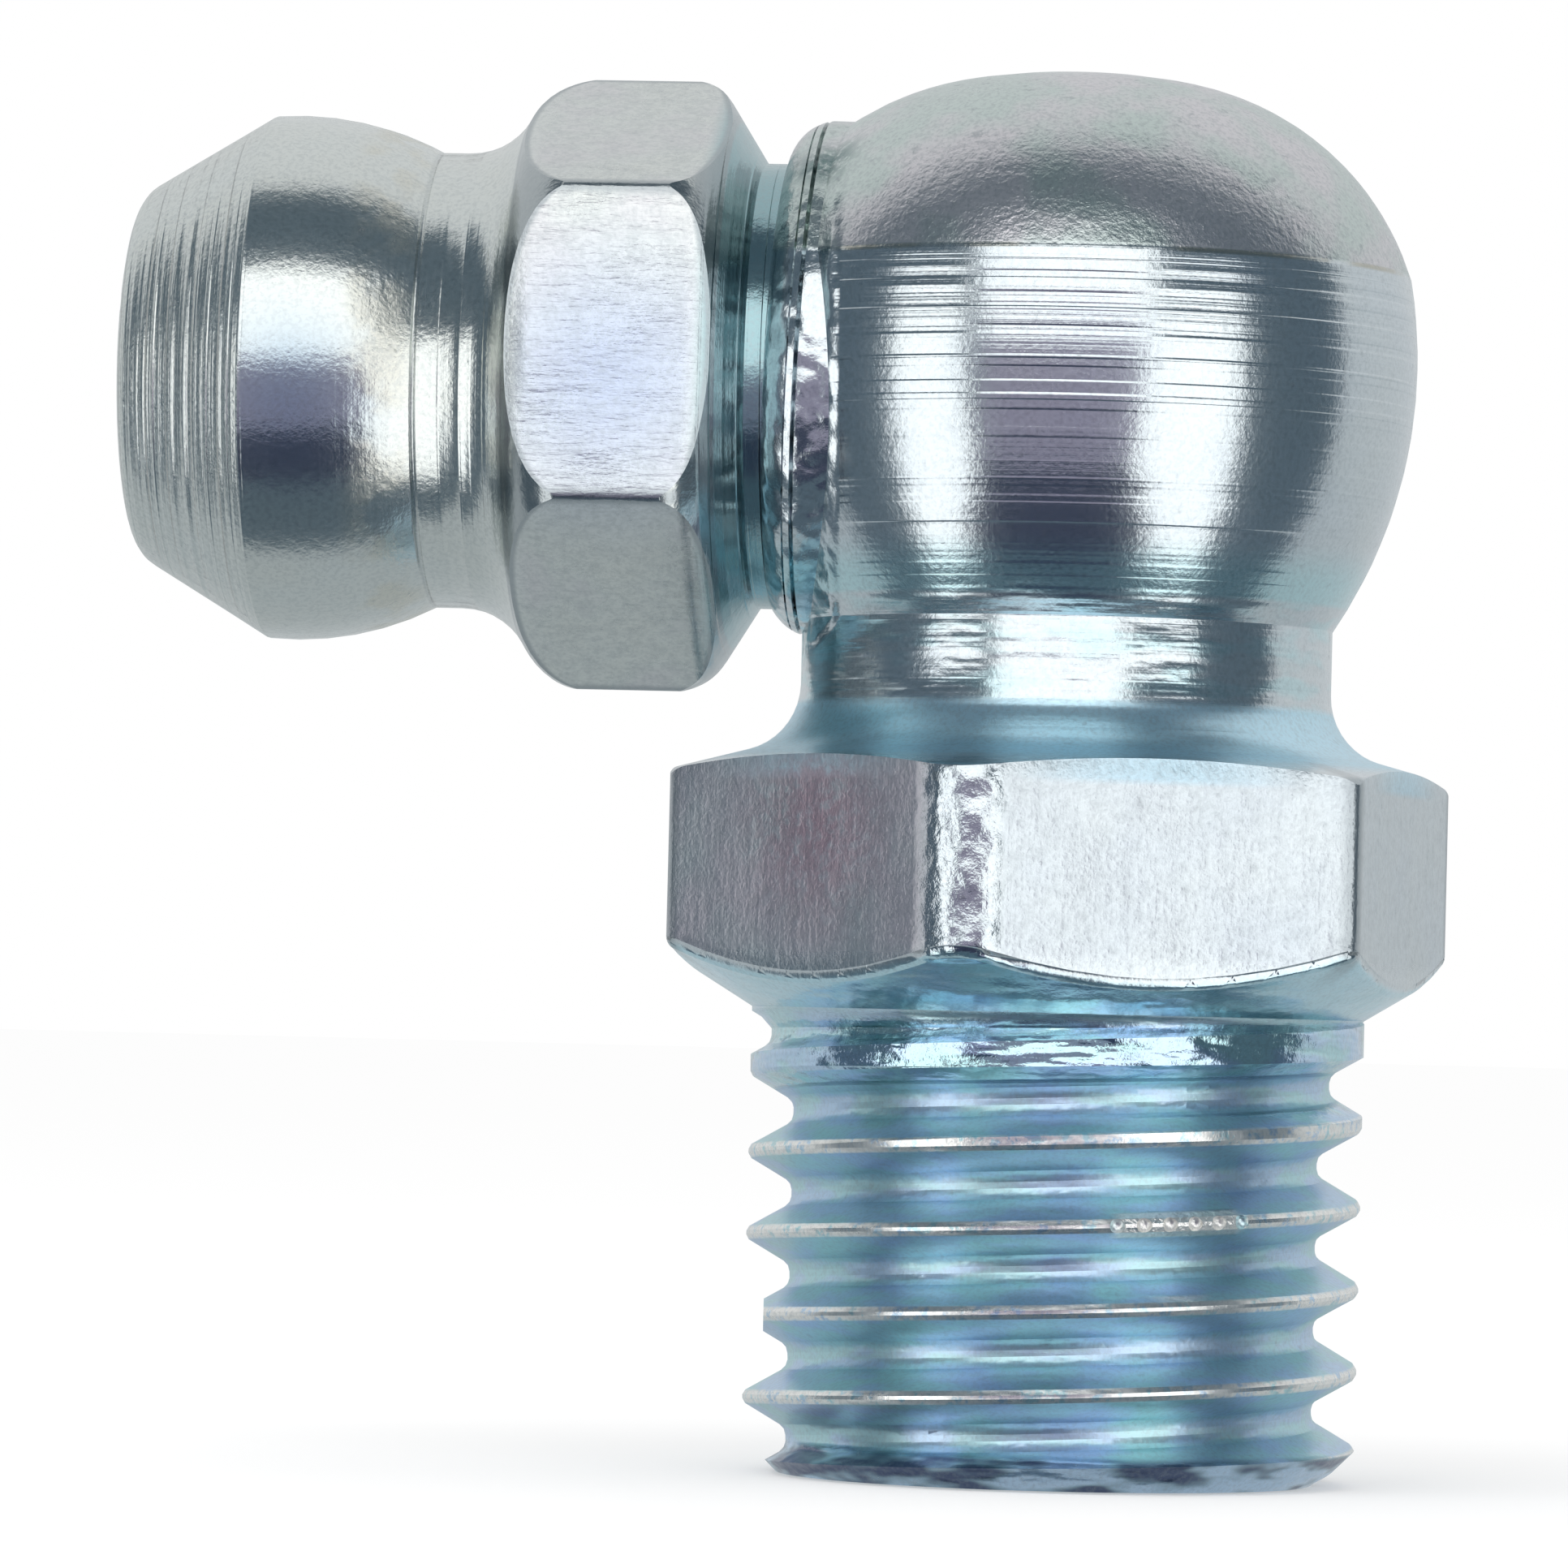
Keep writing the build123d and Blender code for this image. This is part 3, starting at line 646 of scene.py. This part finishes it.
# %% [markdown]
# ## Check ball
#
# The ball that closes the nipple's mouth is a bearing ball, bare and polished. Only a few fine scratches and
# the greyish film of old oil break its mirror.

# %% Finish of the check ball
BARE_STEEL, OLD_OIL = (0.60, 0.60, 0.61), (0.48, 0.47, 0.45)


def polished_ball():
    f = Finish("ball_steel")
    place = f.coordinates()[0]
    scratches = f.speckle(f.stretched(place, (3.0, 14.0, 3.0)), 1.0, 3.0)
    film = f.speckle(place, 1.2, 2.0)
    colour = f.tint(film, BARE_STEEL, OLD_OIL)
    return f.metal(colour, 0.10 + 0.12 * film, f.bump(scratches * 0.001))


dress("check_ball", polished_ball())

# %% [markdown]
# ## Return spring
#
# A coil of wire pushes the ball onto its seat. It has to shorten when the ball is pushed in, which a fixed
# solid can't do, so a new coil replaces it. A ring of wire that is spun round the nipple's axis, and moved on
# a little at each step, draws the coil.

# %% Coil of the return spring
WIRE_RADIUS = 0.16
COIL_RADIUS = 1.19
COIL_TURNS = 8
STEPS_A_TURN, WIRE_SIDES = 40, 10
spring_low, spring_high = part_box("return_spring")
coil_length = (spring_high.x - spring_low.x) / MM - 2 * WIRE_RADIUS
coil_foot = Vector((spring_high.x / MM - WIRE_RADIUS, 0.0, AXIS_HEIGHT))

coil = bmesh.new()
wire_round = bmesh.ops.create_circle(coil, cap_ends=True, segments=WIRE_SIDES, radius=WIRE_RADIUS)["verts"]
rise_angle = math.atan2(coil_length / COIL_TURNS, 2 * math.pi * COIL_RADIUS)
bmesh.ops.rotate(coil, verts=wire_round, cent=(0, 0, 0), matrix=Matrix.Rotation(-rise_angle, 3, "Z"))
bmesh.ops.rotate(coil, verts=wire_round, cent=(0, 0, 0), matrix=Matrix.Rotation(math.radians(90), 3, "X"))
bmesh.ops.translate(coil, verts=wire_round, vec=coil_foot + Vector((0, 0, COIL_RADIUS)))
steps = COIL_TURNS * STEPS_A_TURN
bmesh.ops.spin(
    coil,
    geom=coil.verts[:] + coil.edges[:] + coil.faces[:],
    cent=coil_foot,
    axis=(1, 0, 0),
    dvec=(-coil_length / steps, 0, 0),
    angle=-2 * math.pi * COIL_TURNS,
    steps=steps,
    use_merge=False,
)
bmesh.ops.scale(coil, vec=(MM, MM, MM), verts=coil.verts[:])
bmesh.ops.recalc_face_normals(coil, faces=coil.faces[:])
coil_mesh = bpy.data.meshes.new("spring_coil")
coil.to_mesh(coil_mesh)
coil.free()
for face in coil_mesh.polygons:
    face.use_smooth = True
spring = bpy.data.objects.new("spring_coil", coil_mesh)
bpy.context.scene.collection.objects.link(spring)
print("coil:", COIL_TURNS, "turns over", round(coil_length, 2), "mm")

# %% Finish of the spring, and how it moves
GREY_WIRE, OILED_WIRE = (0.46, 0.46, 0.47), (0.30, 0.30, 0.31)


def drawn_wire():
    f = Finish("spring_steel")
    place = f.coordinates()[0]
    film = f.speckle(place, 2.5, 3.0)
    colour = f.tint(film, GREY_WIRE, OILED_WIRE)
    return f.metal(colour, 0.28 + 0.15 * film, f.bump(f.speckle(place, 12.0, 2.0) * 0.002))


coil_mesh.materials.append(drawn_wire())
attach(spring, "fitting")
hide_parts("return_spring")
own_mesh(spring)

# %% [markdown]
# ## Floor and light tent
#
# Bright metal is a mirror, so its look is the look of what stands round it. Small turned parts are often
# shot in a white tent with a dark mouth: pale cloth behind and beside the part, a dark opening round the
# camera, and in that opening two tall soft windows left and right of the lens and a wide one over it. In the
# round head all of that shows as a small map: a pale rim, a dark ring, and bright patches with the camera and
# the darker stand below it between them.
#
# The mouth and the windows are built as cards that only mirror-like rays can see. The camera looks through
# them, and they add no light to the floor. Their material is plain glow, so their brightness is the number
# that is written.

# %% Plain glow, and pieces of scenery
def plain_glow(name, colour, strength=1.0):
    f = Finish(name)
    f.node_out(f.node("Emission", {}, {"Color": colour, "Strength": strength}))
    f.material.cycles.emission_sampling = "NONE"
    return f.material


def direction(bearing, height):
    """Unit vector from the part, bearing in degrees right of the camera and height above level."""
    turn, lift = math.radians(CAMERA_AZIMUTH + bearing), math.radians(height)
    return Vector((math.sin(turn) * math.cos(lift), -math.cos(turn) * math.cos(lift), math.sin(lift)))


def scenery(name, mesh, material, only_mirrored):
    """A mesh in millimetres that stands round the part and isn't part of it."""
    data = bpy.data.meshes.new(name)
    bmesh.ops.scale(mesh, vec=(MM, MM, MM), verts=mesh.verts[:])
    mesh.to_mesh(data)
    mesh.free()
    data.materials.append(material)
    made = bpy.data.objects.new(name, data)
    bpy.context.scene.collection.objects.link(made)
    if only_mirrored:
        made.visible_camera = made.visible_diffuse = made.visible_shadow = made.visible_transmission = False
    return made


print("scenery helpers ready")

# %% Windows, and the two darker cards between them
CARD_DISTANCE, NEAR_CARD_DISTANCE = 130.0, 122.0
WINDOW_WHITE, WINDOW_STRENGTH = (1.0, 1.0, 1.0), 1.6
MAUVE_SHADE, NAVY_SHADE = (0.33, 0.30, 0.39), (0.05, 0.06, 0.10)


def card(name, bearings, heights, material, distance=CARD_DISTANCE):
    """A flat card that spans a range of bearings and heights, seen from the part."""
    middle = direction(sum(bearings) / 2, sum(heights) / 2)
    wide = 2 * distance * math.tan(math.radians(bearings[1] - bearings[0]) / 2)
    tall = 2 * distance * math.tan(math.radians(heights[1] - heights[0]) / 2)
    sheet = bmesh.new()
    bmesh.ops.create_grid(sheet, x_segments=1, y_segments=1, size=0.5)
    facing_part = middle.to_track_quat("Z", "Y").to_matrix().to_4x4()
    stretch = Matrix.Diagonal((wide, tall, 1, 1))
    bmesh.ops.transform(sheet, matrix=facing_part @ stretch, verts=sheet.verts[:])
    bmesh.ops.translate(sheet, verts=sheet.verts[:], vec=AIM / MM + middle * distance)
    return scenery(name, sheet, material, only_mirrored=True)


card("left_window", (-64, -36), (-44, 17), plain_glow("left_cloth", WINDOW_WHITE, WINDOW_STRENGTH))
card("right_window", (22, 57), (-44, 17), plain_glow("right_cloth", WINDOW_WHITE, WINDOW_STRENGTH))
card("over_window", (-31, 24), (6, 47), plain_glow("over_cloth", WINDOW_WHITE, WINDOW_STRENGTH))
card("camera_side", (-31, 22), (-24, 6), plain_glow("camera_cloth", MAUVE_SHADE))
card("below_camera", (-41, 29), (-48, -25), plain_glow("below_cloth", NAVY_SHADE), NEAR_CARD_DISTANCE)

# %% [markdown]
# ### The mouth of the tent
#
# The dark opening is a drum round the line from part to camera, with the camera inside. Its back edge decides
# how wide the dark ring looks in the metal. It reaches further back at the sides than above and below, as the
# ring in the round head does, so the edge is drawn from those three angles.

# %% Dark drum round the camera
DRUM_RADIUS = 160.0
DRUM_SIDES = 72
EDGE_ANGLES = (98, 86, 84)
EDGE_SIDE, EDGE_ABOVE, EDGE_BELOW = (-DRUM_RADIUS / math.tan(math.radians(angle)) for angle in EDGE_ANGLES)
DRUM_BLUE = (0.105, 0.145, 0.18)
dark_cloth = plain_glow("dark_cloth", DRUM_BLUE)
drum = bmesh.new()
front_ring = bmesh.ops.create_circle(drum, cap_ends=True, segments=DRUM_SIDES, radius=DRUM_RADIUS)["verts"]
bmesh.ops.rotate(drum, verts=front_ring, cent=(0, 0, 0), matrix=Matrix.Rotation(math.radians(90), 3, "X"))
bmesh.ops.translate(drum, verts=front_ring, vec=(0, -DRUM_RADIUS, 0))
wall = bmesh.ops.extrude_edge_only(drum, edges=drum.edges[:])["geom"]
upright_sum, upright_gap = (EDGE_ABOVE + EDGE_BELOW) / 2, (EDGE_ABOVE - EDGE_BELOW) / 2
for vert in (v for v in wall if isinstance(v, bmesh.types.BMVert)):
    lift = vert.co.z / DRUM_RADIUS
    vert.co.y = EDGE_SIDE + (upright_sum - EDGE_SIDE) * lift * lift + upright_gap * lift
bmesh.ops.rotate(drum, verts=drum.verts[:], cent=(0, 0, 0), matrix=Matrix.Rotation(azimuth, 3, "Z"))
bmesh.ops.translate(drum, verts=drum.verts[:], vec=AIM / MM)
scenery("tent_mouth", drum, dark_cloth, only_mirrored=True)
print("drum edges, mm towards the back:", round(EDGE_SIDE), round(EDGE_ABOVE), round(EDGE_BELOW))

# %% [markdown]
# ### Cloth, sky and floor
#
# The cloth behind the part is a large ball round everything, seen only in the metal, as a soft grey that is
# paler above than below. The camera sees the sky instead, which is plain white and lights the floor evenly,
# so the floor's only shade is the part's own shadow. The floor is hidden from mirror-like rays, because it
# would cut the drum in half, and clear from below, so that the end of the stub can be looked at.

# %% Tent cloth and white sky
CLOTH_RADIUS = 420.0
LOW_GREY, HIGH_GREY = (0.46, 0.50, 0.52), (0.82, 0.83, 0.84)


def grey_cloth():
    f = Finish("grey_cloth")
    share = f.ramp_up(f.coordinates()[3], -CLOTH_RADIUS, CLOTH_RADIUS)
    f.node_out(f.node("Emission", {}, {"Color": f.tint(share, LOW_GREY, HIGH_GREY)}))
    f.material.cycles.emission_sampling = "NONE"
    return f.material


cloth = bmesh.new()
bmesh.ops.create_uvsphere(cloth, u_segments=48, v_segments=24, radius=CLOTH_RADIUS)
scenery("tent_cloth", cloth, grey_cloth(), only_mirrored=True)

sky = bpy.data.worlds.new("white_sky")
bpy.context.scene.world = sky
sky.use_nodes = True
sky.cycles.sampling_method = "NONE"
sky.node_tree.nodes["Background"].inputs["Color"].default_value = (1.0, 1.0, 1.0, 1.0)
print("cloth and sky ready")

# %% Floor
FLOOR_SIDE = 3000.0
FLOOR_GAP = 0.02
FLOOR_PAINT, OWN_GLOW = (0.97, 0.97, 0.97), 0.35


def pale_floor():
    f = Finish("pale_floor")
    diffuse = f.node("BsdfDiffuse", {}, {"Color": FLOOR_PAINT})
    glow = f.node("Emission", {}, {"Color": (1.0, 1.0, 1.0), "Strength": 1.0})
    seen = f.node("LightPath", {}, {}, output="Is Camera Ray")
    from_above = f.node("MixShader", {}, {0: seen * OWN_GLOW, 1: diffuse, 2: glow})
    underside = f.node("NewGeometry", {}, {}, output="Backfacing")
    clear = f.node("BsdfTransparent")
    f.node_out(f.node("MixShader", {}, {0: underside, 1: from_above, 2: clear}))
    return f.material


ground = bmesh.new()
bmesh.ops.create_grid(ground, x_segments=1, y_segments=1, size=FLOOR_SIDE / 2)
bmesh.ops.translate(ground, verts=ground.verts[:], vec=(0, 0, -FLOOR_GAP))
floor = scenery("floor", ground, pale_floor(), only_mirrored=False)
floor.visible_glossy = False
print("floor:", FLOOR_SIDE, "mm wide")

# %% [markdown]
# ### Lamp
#
# One wide lamp above gives the floor a soft shadow. It is kept out of the metal's reflections, where the
# windows already stand.

# %% Shadow lamp
LAMP_BEARING, LAMP_HEIGHT = -35, 55
LAMP_SIDE, LAMP_DISTANCE, LAMP_RADIANCE = 90, 150.0, 2.0


def soft_lamp(name, bearing, height, side, radiance, distance):
    """A square lamp given by direction, with the brightness that its face shows."""
    data = bpy.data.lights.new(name, "AREA")
    data.shape, data.size = "SQUARE", side * MM
    data.energy = radiance * math.pi * data.size**2
    lamp = bpy.data.objects.new(name, data)
    away = direction(bearing, height)
    lamp.location = AIM + away * distance * MM
    lamp.rotation_mode = "QUATERNION"
    lamp.rotation_quaternion = away.to_track_quat("Z", "Y")
    lamp.visible_camera = lamp.visible_glossy = False
    bpy.context.scene.collection.objects.link(lamp)
    return lamp


shadow_lamp = soft_lamp("shadow_lamp", LAMP_BEARING, LAMP_HEIGHT, LAMP_SIDE, LAMP_RADIANCE, LAMP_DISTANCE)
print("lamp:", shadow_lamp.name, round(shadow_lamp.data.energy, 3), "W")

# %% [markdown]
# ## Colour handling and the finish
#
# Standard colour handling shows each colour about as it is written.

# %% Finish
bpy.context.scene.view_settings.view_transform = "Standard"
